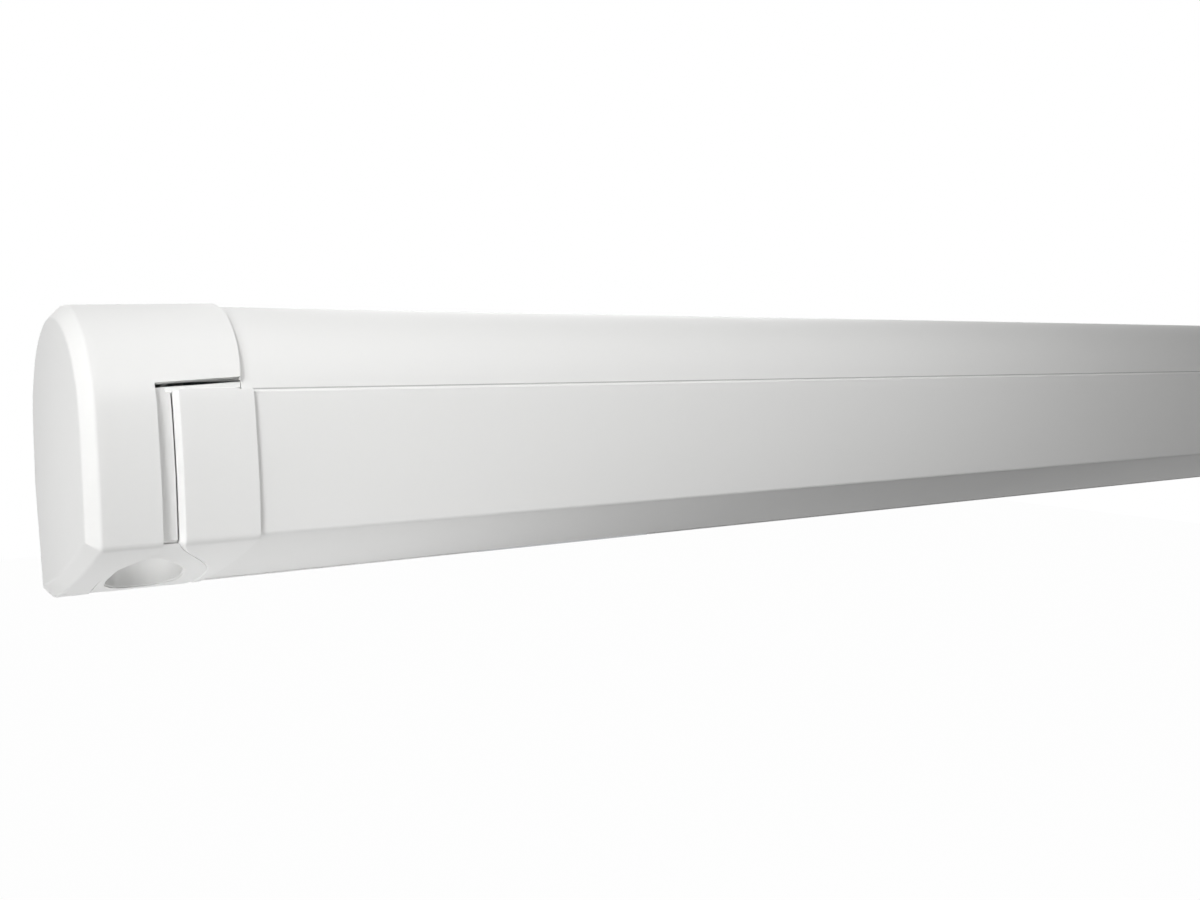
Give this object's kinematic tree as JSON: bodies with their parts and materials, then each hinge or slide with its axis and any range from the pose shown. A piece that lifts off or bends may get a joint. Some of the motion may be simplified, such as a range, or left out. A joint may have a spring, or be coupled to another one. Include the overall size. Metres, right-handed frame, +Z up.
{
  "type": "roll out awning",
  "caption": "Wall-hung cassette awning: a closed case with a lead rail that folding arms push out, a cloth roller, a worm gear with a crank socket and stowed legs.",
  "frame": {"origin": "centre of the back face of the middle wall bracket, half way along the awning, level with the crease between the front face and the underside", "axes": "+X along the awning towards its right end seen from the front, +Y into the wall, +Z up"},
  "size_m": [1.9, 0.1055, 0.1265],
  "materials": {
    "cap_plastic": "smooth, softly glossy white moulding",
    "housing_plastic": "fine satin white moulding",
    "powder_coat": "white powder coat on an aluminium extrusion",
    "bracket_metal": "mill finish extrusion",
    "cast_metal": "grey painted die casting",
    "arm_paint": "white powder coat on aluminium tube",
    "bright_steel": "zinc plated steel",
    "spring_steel": "oiled spring wire",
    "roller_steel": "galvanised tube",
    "black_plastic": "black glass-filled nylon",
    "gear_plastic": "natural acetal",
    "leg_aluminium": "satin anodised tube",
    "awning_cloth": "plain coated awning cloth, light grey",
    "black_rubber": "soft black extrusion"
  },
  "bodies": {
    "root": {"cassette_shell": "powder_coat", "left_cassette_cap": "cap_plastic", "right_cassette_cap": "cap_plastic", "cassette_cap_screws": "bright_steel", "front_lip_seal": "black_rubber", "gear_housing": "housing_plastic", "crank_bell": "housing_plastic", "idler_housing": "housing_plastic", "idler_bush": "gear_plastic", "left_wall_bracket": "bracket_metal", "centre_wall_bracket": "bracket_metal", "right_wall_bracket": "bracket_metal", "left_shoulder_bracket": "cast_metal", "right_shoulder_bracket": "cast_metal", "left_shoulder_pin": "bright_steel", "right_shoulder_pin": "bright_steel"},
    "roller": {"roller_tube": "roller_steel", "cloth_roll": "awning_cloth", "roller_drive_plug": "black_plastic", "roller_idler_plug": "black_plastic", "worm_wheel": "gear_plastic"},
    "crank_shaft": {"worm_shaft": "bright_steel"},
    "left_upper_arm": {"left_upper_arm": "arm_paint", "left_shoulder_eye": "cast_metal", "left_elbow_fork": "cast_metal", "left_elbow_pin": "bright_steel"},
    "left_forearm": {"left_forearm": "arm_paint", "left_elbow_tongue": "cast_metal", "left_wrist_eye": "cast_metal", "left_arm_spring": "spring_steel"},
    "right_upper_arm": {"right_upper_arm": "arm_paint", "right_shoulder_eye": "cast_metal", "right_elbow_fork": "cast_metal", "right_elbow_pin": "bright_steel"},
    "right_forearm": {"right_forearm": "arm_paint", "right_elbow_tongue": "cast_metal", "right_wrist_eye": "cast_metal", "right_arm_spring": "spring_steel"},
    "lead_bar": {"lead_rail": "powder_coat", "left_rail_cap": "cap_plastic", "right_rail_cap": "cap_plastic", "rail_cap_screws": "bright_steel", "keder_cord": "black_rubber", "left_wrist_bracket": "cast_metal", "right_wrist_bracket": "cast_metal", "left_wrist_pin": "bright_steel", "right_wrist_pin": "bright_steel", "left_leg_outer_tube": "leg_aluminium", "right_leg_outer_tube": "leg_aluminium", "left_leg_knuckle": "black_plastic", "right_leg_knuckle": "black_plastic", "leg_clips": "black_plastic"},
    "left_leg": {"left_leg_inner_tube": "leg_aluminium", "left_leg_foot": "black_plastic"},
    "right_leg": {"right_leg_inner_tube": "leg_aluminium", "right_leg_foot": "black_plastic"},
    "cloth_edge": {"cloth_hem": "awning_cloth", "cloth_panel": "awning_cloth"}
  },
  "joints": [
    {"name": "left_shoulder", "type": "hinge", "parent": "root", "child": "left_upper_arm", "pos_m": [-0.85, -0.026, 0.005], "axis": [0, 0.1392, -0.9903], "range_deg": [0, 76]},
    {"name": "left_elbow", "type": "hinge", "parent": "left_upper_arm", "child": "left_forearm", "pos_m": [-0.11, -0.03739, 0.0034], "axis": [0, -0.1392, 0.9903], "range_deg": [0, 152]},
    {"name": "left_wrist", "type": "hinge", "parent": "left_forearm", "child": "lead_bar", "pos_m": [-0.85, -0.04878, 0.0018], "axis": [0, 0.1392, -0.9903], "range_deg": [0, 76]},
    {"name": "right_shoulder", "type": "hinge", "parent": "root", "child": "right_upper_arm", "pos_m": [0.85, -0.026, 0.005], "axis": [0, -0.1392, 0.9903], "range_deg": [0, 76]},
    {"name": "right_elbow", "type": "hinge", "parent": "right_upper_arm", "child": "right_forearm", "pos_m": [0.11, -0.03739, 0.0034], "axis": [0, 0.1392, -0.9903], "range_deg": [0, 152]},
    {"name": "roller_turn", "type": "hinge", "parent": "root", "child": "roller", "pos_m": [0, -0.044, 0.051], "axis": [-1, 0, 0], "range_deg": [0, 3097]},
    {"name": "crank_turn", "type": "hinge", "parent": "root", "child": "crank_shaft", "pos_m": [-0.9165, -0.059, -0.021], "axis": [0, 0.5123, 0.8588], "range_deg": [0, 24776]},
    {"name": "cloth_pull", "type": "slide", "parent": "root", "child": "cloth_edge", "axis": [0, -0.9903, -0.1392], "range_m": [0, 1.4187], "deforming": ["cloth_panel"]},
    {"name": "left_leg_slide", "type": "slide", "parent": "lead_bar", "child": "left_leg", "axis": [1, 0, 0], "range_m": [0, 0.6]},
    {"name": "right_leg_slide", "type": "slide", "parent": "lead_bar", "child": "right_leg", "axis": [-1, 0, 0], "range_m": [0, 0.6]}
  ],
  "couplings": [
    {"joint": "left_elbow", "follows": "left_shoulder", "ratio": 2},
    {"joint": "left_wrist", "follows": "left_shoulder", "ratio": 1},
    {"joint": "right_shoulder", "follows": "left_shoulder", "ratio": 1},
    {"joint": "right_elbow", "follows": "left_shoulder", "ratio": 2},
    {"joint": "roller_turn", "follows": "left_shoulder", "ratio": 40.737},
    {"joint": "crank_turn", "follows": "left_shoulder", "ratio": 325.89},
    {"joint": "cloth_pull", "follows": "left_shoulder", "m_per_rad": 1.0695}
  ]
}
